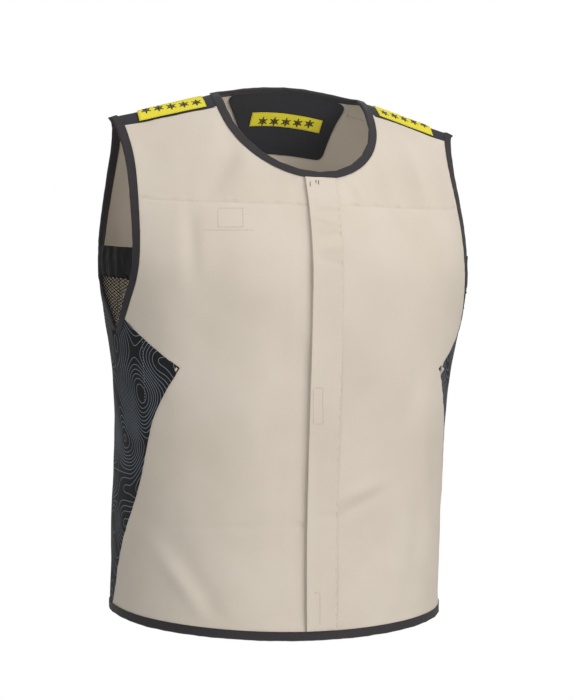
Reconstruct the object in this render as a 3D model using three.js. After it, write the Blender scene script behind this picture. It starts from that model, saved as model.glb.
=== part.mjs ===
// Cooling vest: a sleeveless front-closing vest, shown worn and empty.
// Millimetres, +Z up, the front faces -Y and the wearer's left is +X.
// The origin is midway between the tops of the two shoulders, beside the neck.
//
// Every wall lies on one skin, the outer face of the vest. A place on the skin is an
// angle round the body (0 at the front centre, 90 at the wearer's left side, 180 at
// the back centre) and a level (0 at the hem, 1 on the shoulder ridge).
import * as THREE from 'three';

// Body
const LENGTH = 600; // from the hem to the top of the shoulders
const CHEST_WIDTH = 446;
const FRONT_DEPTH = 132;
const BACK_DEPTH = 118;
const HEM_DIP = 8; // how much lower the front of the hem hangs
const SHOULDER_WIDTH = 432; // between the armhole edges on the ridge
const SHOULDER_FALL = 36; // from beside the neck to the shoulder tip
const RIDGE_ROUND = 66; // how gently the two shoulders run into each other
const RIDGE_BACK = 14; // the ridge lies this far behind the widest part of the chest

// Openings and seams
const NECK_WIDTH = 172;
const NECK_DROP = 88; // front neck edge below the top of the shoulders
const NECK_BACK = 11; // back neck edge behind the ridge
const STRIP_FRONT = 24; // shoulder strip in front of the ridge
const STRIP_BACK = 30; // and behind it
const YOKE_DROP = 126; // chest seam below the top of the shoulders
const ARMHOLE_DROP = 272; // foot of the armhole below the top of the shoulders
const BAND_DROP = 180; // top of the underarm band below the top of the shoulders
const BAND_HEIGHT = 34;
const SIDE_HEIGHT = 346; // side seam from the hem to the armhole
const SIDE_BACK_RISE = 21; // how much higher its back seam meets the armhole

// Cloth
const WALL = 2.5;
const BAND_WALL = 1.6;
const NET_WALL = 1.2;
const FACING_WALL = 1.2;
const LABEL_WALL = 0.8;
const GAP = 0.3; // between pieces that touch
const TAPE_WIDTH = 11;
const TAPE_PROUD = 0.9; // how far the tape stands out of the wall on each side
const TAPE_ROUND = 1.6; // rounding of its folded edge
const TAPE_CLEAR = 0.5; // between the tape and the panels that it binds
const PLACKET_WIDTH = 36;
const PLACKET_WALL = 2;
const PLACKET_CLEAR = 0.6; // it lies loosely on the front
const FACING_TOP = 150;
const FACING_FOOT = 95;
const FACING_HEIGHT = 84;
const FACING_SHIFT = 7; // its top lies this far towards the wearer's left
const FACING_LEAN = 16; // and its foot hangs this much further
const COLLAR_LABEL_LENGTH = 90;
const SHOULDER_LABEL_LENGTH = 75;
const SHOULDER_LABEL_SHIFT = 3; // from the middle of its strip towards the neck
const LABEL_HEIGHT = 19;
const COLLAR_LABEL_DROP = 38; // its centre below the edge of the back neck tape
const COLLAR_LABEL_SHIFT = 15; // towards the wearer's left
const BAND_PLEAT = 1.1; // depth of the gathers of the underarm band
const BAND_BOW = 0.07; // how far band and net bow out, as a share of their breadth
const NET_BAR = 0.36; // share of each net cell that is cord

// How square the horizontal sections are (2 is an ellipse).
const SQUARENESS = 2.3;
// Share of the length where the front and back start to close towards the ridge.
const CLOSE_FROM = 0.66;
// How full the slope to the ridge is: at the sides, extra at the front centre, behind.
const FULL_SIDE = 1.2;
const FULL_CENTRE = 0.55;
const FULL_BACK = 1.9;

// Sections from the hem up. width is a share of half the chest width, front and back
// are shares of the two depths.
const SECTIONS = [
  { height: 0.0, width: 0.885, front: 1.14, back: 0.98 },
  { height: 0.16, width: 0.887, front: 1.065, back: 1.0 },
  { height: 0.33, width: 0.89, front: 1.03, back: 0.98 },
  { height: 0.49, width: 0.928, front: 1.02, back: 0.95 },
  { height: 0.6, width: 0.977, front: 1.0, back: 0.97 },
  { height: 0.7, width: 1.01, front: 0.98, back: 0.98 },
  { height: 0.85, width: 1.033, front: 0.955, back: 0.86 },
  { height: 1.0, width: 1.03, front: 0.92, back: 0.76 },
];

// Soft folds and dents. width and height are shares of the chest width and the
// length, depth is a share of the front depth and positive where the cloth swells.
const FOLDS = [
  { angle: -19, height: 0.42, width: 0.05, tall: 0.34, depth: -0.02 },
  { angle: -38, height: 0.3, width: 0.12, tall: 0.16, depth: 0.022 },
  { angle: -60, height: 0.13, width: 0.1, tall: 0.08, depth: -0.02 },
  { angle: 24, height: 0.19, width: 0.14, tall: 0.03, depth: -0.02 },
  { angle: 42, height: 0.32, width: 0.12, tall: 0.2, depth: 0.02 },
  { angle: 30, height: 0.66, width: 0.16, tall: 0.07, depth: 0.015 },
  { angle: -34, height: 0.62, width: 0.16, tall: 0.07, depth: 0.015 },
  { angle: 160, height: 0.4, width: 0.1, tall: 0.18, depth: -0.025 },
  { angle: -155, height: 0.34, width: 0.1, tall: 0.16, depth: -0.025 },
  { angle: 180, height: 0.62, width: 0.2, tall: 0.1, depth: 0.02 },
];

// Armhole edge below the shoulder tip, down to its foot. down is a share of
// ARMHOLE_DROP counted from the shoulder, front and back are angles.
const ARMHOLE = [
  { down: 0.25, front: 73.2, back: 103.5 },
  { down: 0.4, front: 71.5, back: 104.3 },
  { down: 0.6, front: 72.0, back: 103.0 },
  { down: 0.75, front: 73.5, back: 99.0 },
  { down: 0.83, front: 76.0, back: 94.0 },
  { down: 0.9, front: 78.8, back: 88.6 },
  { down: 0.96, front: 81.2, back: 85.5 },
  { down: 1.0, front: 83.3, back: 83.3 },
];

// Edges of the black side panel. up is a share of SIDE_HEIGHT.
const SIDE = [
  { up: 0.0, front: 91, back: 111 },
  { up: 0.12, front: 89.5, back: 111 },
  { up: 0.26, front: 82.5, back: 111.5 },
  { up: 0.45, front: 73.5, back: 112 },
  { up: 0.66, front: 69, back: 111.5 },
  { up: 0.84, front: 59, back: 105.5 },
  { up: 1.0, front: 81, back: 96 },
];
const SIDE_POINT = SIDE[SIDE.length - 2].up; // where the front edge turns back

// Divisions of each stretch between two corners
const STEPS = {
  centre: 12, // front panel, round the body
  sideAcross: 6,
  backHalf: 10,
  sideLow: 10, // side seam from the hem to its point
  sideHigh: 3, // from its point to the armhole
  yokeToSide: 6,
  yokeUp: 6,
  stripFront: 3,
  stripBack: 3,
  stripAcross: 6,
  armFoot: 3,
  armBack: 10,
  neckBack: 5,
};

const NECK_STEPS = STEPS.centre - STEPS.stripAcross;

const QUARTER_TURN = 90;
const HALF_TURN = 180;
const WHOLE_TURN = 360;
const DEGREE = Math.PI / HALF_TURN;
const NUDGE = 1e-3; // step for slopes of the skin
const HEM = 0;
const RIDGE = 1;
const SEARCHES = 40; // halvings when a place is searched for
const STRIDES = 8; // short moves that follow the curved skin
const RIDGE_KEEP = 0.8; // share of its distance from the ridge that a moved place keeps

// Smooth curve through one column of a table
function along(table, key, column, where) {
  const last = table.length - 1;
  const sign = Math.sign(table[last][key] - table[0][key]);
  let i = 0;
  while (i < last - 1 && (where - table[i + 1][key]) * sign > 0) {
    i += 1;
  }
  const slope = (a, b) => (table[b][column] - table[a][column]) / (table[b][key] - table[a][key]);
  const here = slope(Math.max(i - 1, 0), Math.min(i + 1, last));
  const next = slope(i, Math.min(i + 2, last));
  const span = table[i + 1][key] - table[i][key];
  const t = THREE.MathUtils.clamp((where - table[i][key]) / span, 0, 1);
  const rest = 1 - t;
  return (
    (1 + 2 * t) * rest * rest * table[i][column] +
    t * rest * rest * span * here +
    t * t * (3 - 2 * t) * table[i + 1][column] -
    t * t * rest * span * next
  );
}

// Straight stretches through one column of a table
function between(table, key, column, where) {
  const last = table.length - 1;
  let i = 0;
  while (i < last - 1 && where > table[i + 1][key]) {
    i += 1;
  }
  const span = table[i + 1][key] - table[i][key];
  return THREE.MathUtils.lerp(table[i][column], table[i + 1][column], (where - table[i][key]) / span);
}

// Height of the shoulder ridge at x
function ridgeHeight(x) {
  const run = (half) => Math.hypot(half, RIDGE_ROUND) - RIDGE_ROUND;
  const fall = SHOULDER_FALL / (run(SHOULDER_WIDTH / 2) - run(NECK_WIDTH / 2));
  return fall * (run(NECK_WIDTH / 2) - run(x));
}

// Fold depth at an angle and a share of the length
function foldLift(angle, height) {
  let lift = 0;
  for (const fold of FOLDS) {
    const turn = ((angle - fold.angle + WHOLE_TURN + HALF_TURN) % WHOLE_TURN) - HALF_TURN;
    const across = (turn * DEGREE * CHEST_WIDTH) / 2 / (fold.width * CHEST_WIDTH);
    const up = (height - fold.height) / fold.tall;
    lift += fold.depth * FRONT_DEPTH * Math.exp(-across * across - up * up);
  }
  return lift;
}

// Point of the skin before it is lifted
function skinPoint({ angle, level }) {
  const side = Math.sin(angle * DEGREE);
  const ahead = Math.cos(angle * DEGREE);
  const rise = Math.max(0, (level - CLOSE_FROM) / (RIDGE - CLOSE_FROM));
  const closed = Math.sin((Math.min(rise, 1) * Math.PI) / 2);
  const height = level < CLOSE_FROM ? level : CLOSE_FROM + (RIDGE - CLOSE_FROM) * closed;
  const half = (CHEST_WIDTH / 2) * along(SECTIONS, 'height', 'width', height);
  const front = ahead > 0;
  const depth = front
    ? FRONT_DEPTH * along(SECTIONS, 'height', 'front', height)
    : BACK_DEPTH * along(SECTIONS, 'height', 'back', height);
  const reach =
    (Math.abs(side / half) ** SQUARENESS + Math.abs(ahead / depth) ** SQUARENESS) ** (-1 / SQUARENESS) +
    foldLift(angle, height);
  const x = reach * side;
  const full = front ? FULL_SIDE + FULL_CENTRE * ahead * ahead : FULL_BACK;
  const open = Math.max(0, 1 - closed ** full) ** (1 / full);
  const y = -reach * ahead * open + RIDGE_BACK * closed * closed * (3 - 2 * closed);
  const base = -LENGTH * (1 - CLOSE_FROM);
  if (level >= CLOSE_FROM) {
    return new THREE.Vector3(x, y, base + (ridgeHeight(x) - base) * closed);
  }
  const low = Math.max(0, 1 - 2 * level);
  const dip = front ? HEM_DIP * ahead * ahead * low * low : 0;
  return new THREE.Vector3(x, y, -LENGTH * (1 - level) - dip);
}

// The two directions of the skin at a place, per degree and per level, and its normal
function skinFrame(place) {
  const at = skinPoint(place);
  const round = skinPoint({ angle: place.angle + NUDGE, level: place.level }).sub(at).divideScalar(NUDGE);
  const down = skinPoint({ angle: place.angle, level: place.level - NUDGE });
  const up = at.clone().sub(down).divideScalar(NUDGE);
  const normal = round.clone().cross(up).normalize();
  return { at, round, up, normal };
}

function lifted(place, lift) {
  const { at, normal } = skinFrame(place);
  return at.addScaledVector(normal, lift);
}

// A place moved by a vector that lies in the skin; a place on the ridge stays on it
function toward(place, vector) {
  const { round, up } = skinFrame(place);
  if (place.level >= RIDGE) {
    return { angle: place.angle + vector.dot(round) / round.lengthSq(), level: RIDGE };
  }
  const skew = round.dot(up);
  const scale = round.lengthSq() * up.lengthSq() - skew * skew;
  const a = vector.dot(round);
  const b = vector.dot(up);
  return {
    angle: place.angle + (a * up.lengthSq() - b * skew) / scale,
    level: Math.min(RIDGE, place.level + (b * round.lengthSq() - a * skew) / scale),
  };
}

// A place moved some millimetres round the body and up the skin
function moved(place, aside, climb) {
  const { round, normal } = skinFrame(place);
  const level = round.clone().normalize();
  return toward(place, level.clone().multiplyScalar(aside).addScaledVector(normal.cross(level), climb));
}

// Halves a range until value(middle) meets the goal; value rises with its argument
function search(low, high, goal, value) {
  let [a, b] = [low, high];
  for (let i = 0; i < SEARCHES; i += 1) {
    const middle = (a + b) / 2;
    if (value(middle) < goal) {
      a = middle;
    } else {
      b = middle;
    }
  }
  return (a + b) / 2;
}

// The level at height z on one angle, and the angle at x on one level
const levelAt = (angle, z) => search(HEM, RIDGE, z, (level) => skinPoint({ angle, level }).z);
const frontAngle = (x, level) => search(0, QUARTER_TURN, x, (angle) => skinPoint({ angle, level }).x);
const backAngle = (x, level) => search(QUARTER_TURN, HALF_TURN, -x, (angle) => -skinPoint({ angle, level }).x);

// The place at x on the front whose height is z
function frontPlace(x, z) {
  const level = search(0, RIDGE, z, (share) => skinPoint({ angle: frontAngle(x, share), level: share }).z);
  return { angle: frontAngle(x, level), level };
}

// How far from the ridge the strip ends, as levels, measured halfway along the shoulder
const MID_SHOULDER = (SHOULDER_WIDTH + NECK_WIDTH) / 4;
function stripLevel(angleOf, width) {
  const top = skinPoint({ angle: angleOf(MID_SHOULDER, RIDGE), level: RIDGE });
  const far = (level) => -skinPoint({ angle: angleOf(MID_SHOULDER, level), level }).distanceTo(top);
  return search(CLOSE_FROM, RIDGE, -width, far);
}
const spread = (from, to, steps) =>
  Array.from({ length: steps + 1 }, (_, i) => from + ((to - from) * i) / steps);

// Levels from the ridge down to the strip's edges, at even distances
const stripLevels = (angleOf, width, steps) =>
  spread(0, width, steps).map((away) => (away === 0 ? RIDGE : stripLevel(angleOf, away)));
const FRONT_LEVELS = stripLevels(frontAngle, STRIP_FRONT, STEPS.stripFront);
const BACK_LEVELS = stripLevels(backAngle, STRIP_BACK, STEPS.stripBack);
const STRIP_FRONT_LEVEL = FRONT_LEVELS[STEPS.stripFront];
const STRIP_BACK_LEVEL = BACK_LEVELS[STEPS.stripBack];
const TIP_LEVEL = 1 - ARMHOLE_DROP / LENGTH;
const YOKE_LEVEL = levelAt(ARMHOLE[1].front, -YOKE_DROP);

const SHOULDER_TIP = {
  down: 0,
  front: frontAngle(SHOULDER_WIDTH / 2, RIDGE),
  back: backAngle(SHOULDER_WIDTH / 2, RIDGE),
};

// Armhole edge at a level, on its front and its back
function armholeAt(level, edge) {
  const down = (RIDGE - level) / (RIDGE - TIP_LEVEL);
  return { angle: along([SHOULDER_TIP, ...ARMHOLE], 'down', edge, down), level };
}

// Side seam at a share of its height
function sideAt(up, edge) {
  return { angle: between(SIDE, 'up', edge, up), level: (up * SIDE_HEIGHT) / LENGTH };
}
const SIDE_TOP = sideAt(1, 'front').level;
const SIDE_BACK_TOP = SIDE_TOP + SIDE_BACK_RISE / LENGTH;

// The armhole as one loop, from the ridge down the front and up the back
const armhole = [
  ...FRONT_LEVELS.map((level) => armholeAt(level, 'front')),
  ...spread(STRIP_FRONT_LEVEL, YOKE_LEVEL, STEPS.yokeUp).slice(1).map((level) => armholeAt(level, 'front')),
  ...spread(YOKE_LEVEL, SIDE_TOP, STEPS.yokeToSide).slice(1).map((level) => armholeAt(level, 'front')),
  ...spread(SIDE_TOP, TIP_LEVEL, STEPS.armFoot).slice(1).map((level) => armholeAt(level, 'front')),
  ...spread(TIP_LEVEL, SIDE_BACK_TOP, STEPS.armFoot).slice(1).map((level) => armholeAt(level, 'back')),
  ...spread(SIDE_BACK_TOP, STRIP_BACK_LEVEL, STEPS.armBack).slice(1).map((level) => armholeAt(level, 'back')),
  ...BACK_LEVELS.slice(1, -1).reverse().map((level) => armholeAt(level, 'back')),
];

// The neck edge on the wearer's left, from the front centre over the ridge to the back centre
const NECK_CORNER = skinPoint({ angle: frontAngle(NECK_WIDTH / 2, STRIP_FRONT_LEVEL), level: STRIP_FRONT_LEVEL });
const quarter = (steps) => spread(0, Math.PI / 2, steps);
const backNeckLevel = (() => {
  const far = (level) => -skinPoint({ angle: HALF_TURN, level }).y;
  return search(CLOSE_FROM, RIDGE, -NECK_BACK - RIDGE_BACK, far);
})();
const neckLeft = [
  ...quarter(NECK_STEPS).map((turn) =>
    frontPlace(NECK_CORNER.x * Math.sin(turn), NECK_CORNER.z - (NECK_DROP + NECK_CORNER.z) * Math.cos(turn)),
  ),
  ...FRONT_LEVELS.slice(0, -1)
    .reverse()
    .map((level) => ({ angle: frontAngle(NECK_WIDTH / 2, level), level })),
  ...quarter(STEPS.neckBack)
    .slice(1)
    .map((turn, i) => {
      const level = RIDGE - (RIDGE - backNeckLevel) * Math.sin(turn);
      const x = (NECK_WIDTH / 2) * Math.cos(turn);
      return { angle: i < STEPS.neckBack - 1 ? backAngle(x, level) : HALF_TURN, level };
    }),
];
const mirrored = (places) => places.map(({ angle, level }) => ({ angle: -angle, level }));
const neck = [...neckLeft, ...mirrored(neckLeft.slice(1, -1)).reverse()];

const hemAngles = [
  ...spread(0, SIDE[0].front, STEPS.centre),
  ...spread(SIDE[0].front, SIDE[0].back, STEPS.sideAcross).slice(1),
  ...spread(SIDE[0].back, HALF_TURN, STEPS.backHalf).slice(1),
];
const hemLeft = hemAngles.map((angle) => ({ angle, level: HEM }));
const hem = [...hemLeft, ...mirrored(hemLeft.slice(1, -1)).reverse()];

// A line moved sideways on the skin, to its left as seen from outside
function beside(line, distance, closed = false) {
  const points = line.map(skinPoint);
  const last = line.length - 1;
  return line.map((place, i) => {
    const before = closed ? (i + last) % line.length : Math.max(0, i - 1);
    const after = closed ? (i + 1) % line.length : Math.min(last, i + 1);
    const { normal } = skinFrame(place);
    const ahead = points[after].clone().sub(points[before]).normalize();
    const stride = normal.cross(ahead).normalize().multiplyScalar(distance / STRIDES);
    let reached = place;
    for (let k = 0; k < STRIDES; k += 1) {
      reached = toward(reached, stride);
      reached.level = Math.min(reached.level, RIDGE - (RIDGE - place.level) * RIDGE_KEEP);
    }
    return reached;
  });
}

// Solids
function solid(name, points, faces, material) {
  const position = new Float32Array(points.flatMap((p) => [p.x, p.y, p.z]));
  let volume = 0;
  for (const [a, b, c] of faces) {
    volume += points[a].dot(points[b].clone().cross(points[c]));
  }
  const outward = volume > 0 ? faces : faces.map(([a, b, c]) => [a, c, b]);
  const geometry = new THREE.BufferGeometry();
  geometry.setAttribute('position', new THREE.BufferAttribute(position, 3));
  geometry.setIndex(outward.flat());
  geometry.computeVertexNormals();
  const mesh = new THREE.Mesh(geometry, material.clone());
  mesh.name = name;
  return mesh;
}

const quad = (a, b, c, d) => [
  [a, b, c],
  [a, c, d],
];

// Four corners split along the shorter diagonal, on the outer face and on the inner one
function shorterSplit(points, [a, b, c, d], size) {
  const straight = points[a].distanceTo(points[c]) <= points[b].distanceTo(points[d]);
  const [p, q, r, t] = straight ? [a, b, c, d] : [b, c, d, a];
  return [...quad(p, q, r, t), ...quad(size + p, size + t, size + r, size + q)];
}

// A wall over a grid of places, between two lifts above the skin
function wall(name, grid, outer, inner, material, lift = lifted) {
  const rows = grid.length;
  const columns = grid[0].length;
  const points = [outer, inner].flatMap((face) =>
    grid.flatMap((row, r) => row.map((place, c) => lift(place, face(r / (rows - 1), c / (columns - 1))))),
  );
  const size = rows * columns;
  const faces = [];
  for (let r = 0; r < rows - 1; r += 1) {
    for (let c = 0; c < columns - 1; c += 1) {
      const i = r * columns + c;
      faces.push(...shorterSplit(points, [i, i + 1, i + columns + 1, i + columns], size));
    }
  }
  const rim = [];
  for (let c = 0; c < columns - 1; c += 1) {
    rim.push([c + 1, c], [size - columns + c, size - columns + c + 1]);
  }
  for (let r = 0; r < rows - 1; r += 1) {
    rim.push([r * columns, (r + 1) * columns], [(r + 2) * columns - 1, (r + 1) * columns - 1]);
  }
  for (const [a, b] of rim) {
    faces.push(...quad(a, b, size + b, size + a));
  }
  return solid(name, points, faces, material);
}
const flat = (lift) => () => lift;

// A closed tape along a loop; garment is 1 where the cloth lies to the loop's left, else -1
const TAPE_SECTION = [
  { across: 0, lift: -WALL / 2 },
  { across: TAPE_ROUND, lift: TAPE_PROUD },
  { across: TAPE_WIDTH, lift: TAPE_PROUD },
  { across: TAPE_WIDTH, lift: -WALL - TAPE_PROUD },
  { across: TAPE_ROUND, lift: -WALL - TAPE_PROUD },
];
function tape(name, loop, garment, material) {
  const sides = TAPE_SECTION.length;
  const rings = TAPE_SECTION.map(({ across, lift }) =>
    beside(loop, garment * across, true).map((place) => lifted(place, lift)),
  );
  const points = loop.flatMap((_, i) => rings.map((ring) => ring[i]));
  const faces = [];
  for (let i = 0; i < loop.length; i += 1) {
    const next = (i + 1) % loop.length;
    for (let s = 0; s < sides; s += 1) {
      const t = (s + 1) % sides;
      faces.push(...quad(i * sides + s, next * sides + s, next * sides + t, i * sides + t));
    }
  }
  return solid(name, points, faces, material);
}

// A grid between four edges; foot and head run one way, near and far go up
function patch(foot, head, near, far) {
  const blend = (key, u, w, r, c) => {
    const straight = (a, b, t) => a + (b - a) * t;
    const level = straight(foot[c][key], head[c][key], w);
    const side = straight(near[r][key], far[r][key], u);
    const low = straight(foot[0][key], foot[foot.length - 1][key], u);
    const high = straight(head[0][key], head[head.length - 1][key], u);
    return level + side - straight(low, high, w);
  };
  return near.map((_, r) =>
    foot.map((__, c) => {
      const u = c / (foot.length - 1);
      const w = r / (near.length - 1);
      return { angle: blend('angle', u, w, r, c), level: blend('level', u, w, r, c) };
    }),
  );
}

// Materials
const cloth = (color, roughness = 0.9) => new THREE.MeshStandardMaterial({ color, roughness, metalness: 0 });
const BEIGE = cloth(0xd2c6b6);
const TAPE = cloth(0x3d3a3e, 0.85);
const STRIP = cloth(0x2f2f33);
const SIDE_CLOTH = cloth(0x242427, 0.8);
const NET = cloth(0x1c1c1f);
const LABEL = cloth(0xe6dc3c, 0.7);

// Edges beside the tape, where the panels stop
const CLEAR = TAPE_WIDTH + TAPE_CLEAR;
const armholeIn = beside(armhole, -CLEAR, true);
const neckIn = beside(neck, -CLEAR, true).slice(0, neckLeft.length);
const hemIn = beside(hem, CLEAR, true).slice(0, hemLeft.length);
const corner = {
  stripFront: STEPS.stripFront,
  yoke: STEPS.stripFront + STEPS.yokeUp,
  side: STEPS.stripFront + STEPS.yokeUp + STEPS.yokeToSide,
};
corner.sideBack = corner.side + 2 * STEPS.armFoot;
corner.stripBack = corner.sideBack + STEPS.armBack;

const HALF_GAP = GAP / 2;
const raise = (place, up) => moved(place, 0, up);
// Ends of a line moved along it, so that the pieces on both sides keep their gap
const endsMoved = (line, first, last) =>
  line.map((place, i) => {
    if (i === 0) {
      return raise(place, first);
    }
    return i === line.length - 1 ? raise(place, last) : place;
  });

const sideUps = [
  ...spread(0, SIDE_POINT, STEPS.sideLow),
  ...spread(SIDE_POINT, 1, STEPS.sideHigh).slice(1),
];
const seamFront = sideUps.map((up) => sideAt(up, 'front'));
const seamBack = sideUps.map((up) => {
  const place = sideAt(up, 'back');
  return { angle: place.angle, level: (place.level * SIDE_BACK_TOP) / SIDE_TOP };
});

// A seam line whose foot and head are put on the tape's edges
function trimmed(line, foot, head) {
  const inner = line.slice(1, -1);
  return [foot, ...inner, head];
}

// Front panels, drawn for the wearer's left
const centreX = HALF_GAP;
const centreLine = (from, to, steps) =>
  spread(from, to, steps).map((level) => ({ angle: frontAngle(centreX, level), level }));

// The seam's divisions are wider below the neck, so that they fan out towards its edge
const YOKE_KNEE = 0.64;
const yokeShares = [...spread(0, YOKE_KNEE, NECK_STEPS), ...spread(YOKE_KNEE, 1, STEPS.stripAcross).slice(1)];
const yokeRow = (shift) => {
  const end = raise(armholeIn[corner.yoke], shift);
  return yokeShares.map((share) => {
    const angle = share * end.angle;
    const level = levelAt(angle, -YOKE_DROP);
    const place = share === 1 ? end : raise({ angle, level }, shift);
    return share === 0 ? { angle: frontAngle(centreX, place.level), level: place.level } : place;
  });
};

function lowerFront() {
  const foot = hemIn.slice(0, STEPS.centre + 1);
  foot[0] = { angle: frontAngle(centreX, foot[0].level), level: foot[0].level };
  const seam = beside(seamFront, HALF_GAP);
  foot[STEPS.centre] = { angle: seam[0].angle, level: foot[STEPS.centre].level };
  const arm = armholeIn.slice(corner.yoke, corner.side + 1).reverse();
  const head = yokeRow(-HALF_GAP);
  const far = [
    ...trimmed(seam, foot[STEPS.centre], raise(arm[0], HALF_GAP)),
    ...arm.slice(1, -1),
    head[head.length - 1],
  ];
  const levels = far.map(({ level }) => {
    const share = (level - far[0].level) / (far[far.length - 1].level - far[0].level);
    return foot[0].level + share * (head[0].level - foot[0].level);
  });
  const near = levels.map((level) => ({ angle: frontAngle(centreX, level), level }));
  return patch(foot, head, near, far);
}

function upperFront() {
  const foot = yokeRow(HALF_GAP);
  const arm = armholeIn.slice(corner.stripFront, corner.yoke + 1).reverse();
  const neckEdge = neckIn.slice(0, NECK_STEPS + 1);
  const strip = acrossRow(neckEdge[NECK_STEPS], arm[arm.length - 1], frontAngle, STEPS.stripAcross);
  const head = [...neckEdge.slice(0, -1), ...strip.map((place) => raise(place, -HALF_GAP))];
  head[0] = { angle: frontAngle(centreX, head[0].level), level: head[0].level };
  const far = trimmed(arm, foot[foot.length - 1], head[head.length - 1]);
  return patch(foot, head, centreLine(foot[0].level, head[0].level, far.length - 1), far);
}

function sidePanel() {
  const foot = hemIn.slice(STEPS.centre, STEPS.centre + STEPS.sideAcross + 1);
  const front = beside(seamFront, -HALF_GAP);
  const back = beside(seamBack, HALF_GAP);
  foot[0] = { angle: front[0].angle, level: foot[0].level };
  foot[STEPS.sideAcross] = { angle: back[0].angle, level: foot[STEPS.sideAcross].level };
  const arm = armholeIn.slice(corner.side, corner.sideBack + 1);
  const head = endsMoved(arm, -HALF_GAP, -HALF_GAP);
  const picks = spread(0, head.length - 1, STEPS.sideAcross).map((i) => head[Math.round(i)]);
  const near = trimmed(front, foot[0], picks[0]);
  const far = trimmed(back, foot[STEPS.sideAcross], picks[STEPS.sideAcross]);
  return patch(foot, picks, near, far);
}

// A row between two places of the same side, at even steps of x
function acrossRow(near, far, angleOf, steps) {
  const from = skinPoint(near).x;
  const to = skinPoint(far).x;
  return spread(0, 1, steps).map((share) => {
    if (share === 0 || share === 1) {
      return share === 0 ? near : far;
    }
    const level = near.level + (far.level - near.level) * share;
    return { angle: angleOf(from + (to - from) * share, level), level };
  });
}

// Where the strip's inner end leaves the neck behind the ridge
const RIDGE_AT_NECK = NECK_STEPS + STEPS.stripFront;
const stripInner = neckIn[RIDGE_AT_NECK + 1];
const stripInnerX = skinPoint(stripInner).x;
const innerEnd = (shift, level) => ({ angle: backAngle(stripInnerX + shift, level), level });

// Shoulder strip over the wearer's left shoulder, from its front edge to its back edge
function shoulderStrip() {
  const frontRows = spread(0, STEPS.stripFront, STEPS.stripFront).map((i) => {
    const shift = i === 0 ? HALF_GAP : 0;
    const near = raise(neckIn[NECK_STEPS + i], shift);
    const far = raise(armholeIn[STEPS.stripFront - i], shift);
    return acrossRow(near, far, frontAngle, STEPS.stripAcross);
  });
  const levels = spread(stripInner.level, STRIP_BACK_LEVEL, STEPS.stripBack - 1);
  const backRows = levels.map((level, i) => {
    const shift = i === levels.length - 1 ? HALF_GAP : 0;
    const near = raise(innerEnd(HALF_GAP, level), shift);
    const far = raise(armholeIn[armholeIn.length - 1 - i], shift);
    return acrossRow(near, far, backAngle, STEPS.stripAcross);
  });
  return [...frontRows, ...backRows];
}

// Back panel, drawn from the wearer's left to the right
function backPanel() {
  const left = STEPS.centre + STEPS.sideAcross;
  const footHalf = hemIn.slice(left, left + STEPS.backHalf + 1);
  const seam = beside(seamBack, -HALF_GAP);
  footHalf[0] = { angle: seam[0].angle, level: footHalf[0].level };
  const arm = armholeIn.slice(corner.sideBack, corner.stripBack + 1);
  const neckHalf = neckIn.slice(RIDGE_AT_NECK + 1);
  const stripSteps = STEPS.backHalf - STEPS.neckBack;
  const stripEnd = raise(arm[arm.length - 1], -HALF_GAP);
  const inner = raise(innerEnd(-HALF_GAP, STRIP_BACK_LEVEL), -HALF_GAP);
  const headHalf = [
    ...acrossRow(stripEnd, inner, backAngle, stripSteps),
    moved(neckHalf[0], HALF_GAP, 0),
    ...neckHalf.slice(1),
  ];
  const far = [
    ...trimmed(seam, footHalf[0], raise(arm[0], HALF_GAP)),
    ...arm.slice(1, -1),
    stripEnd,
  ];
  const whole = (half) => [
    ...half,
    ...half
      .slice(0, -1)
      .reverse()
      .map(({ angle, level }) => ({ angle: WHOLE_TURN - angle, level })),
  ];
  const right = far.map(({ angle, level }) => ({ angle: WHOLE_TURN - angle, level }));
  return patch(whole(footHalf), whole(headHalf), far, right);
}

// Band and net across the foot of the armhole
const ARMHOLE_FOOT = ARMHOLE[ARMHOLE.length - 1].front;
const BAND_LEVEL = levelAt(ARMHOLE_FOOT, -BAND_DROP);
const BAND_FOOT_LEVEL = levelAt(ARMHOLE_FOOT, -BAND_DROP - BAND_HEIGHT);
const SEWN_IN = 3 * GAP; // between the tape's fold and what is sewn behind it
const PLEATS = 4;
const BAND_STEPS = 2;
const STEPS_PER_PLEAT = 4;
const MIDDLE = -WALL / 2;

// Places between the front and back edges of the armhole, drawn tight in a shallow bow
function insideArmhole(levels, steps, sign) {
  return levels.map((level) => {
    const onEdge = (edge, aside) => {
      const { angle } = moved(armholeAt(level, edge), aside, 0);
      return lifted({ angle: sign * angle, level }, MIDDLE);
    };
    const front = onEdge('front', SEWN_IN);
    const back = onEdge('back', -SEWN_IN);
    const across = back.clone().sub(front);
    const normal = new THREE.Vector3(across.y, -across.x, 0).normalize().multiplyScalar(sign);
    return spread(0, 1, steps).map((share) => {
      const bow = BAND_BOW * across.length() * 4 * share * (1 - share);
      return { at: front.clone().addScaledVector(across, share).addScaledVector(normal, bow), normal };
    });
  });
}
const offBand = ({ at, normal }, lift) => at.clone().addScaledVector(normal, lift);

function underarmBand(name, sign) {
  const grid = insideArmhole(spread(BAND_LEVEL, BAND_FOOT_LEVEL, BAND_STEPS), PLEATS * STEPS_PER_PLEAT, sign);
  const pleat = (c) => BAND_PLEAT * (Math.cos(2 * Math.PI * PLEATS * c) - 1);
  const outer = (_, c) => BAND_WALL / 2 + pleat(c);
  const inner = (_, c) => pleat(c) - BAND_WALL / 2;
  return wall(name, grid, outer, inner, STRIP, offBand);
}

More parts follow.
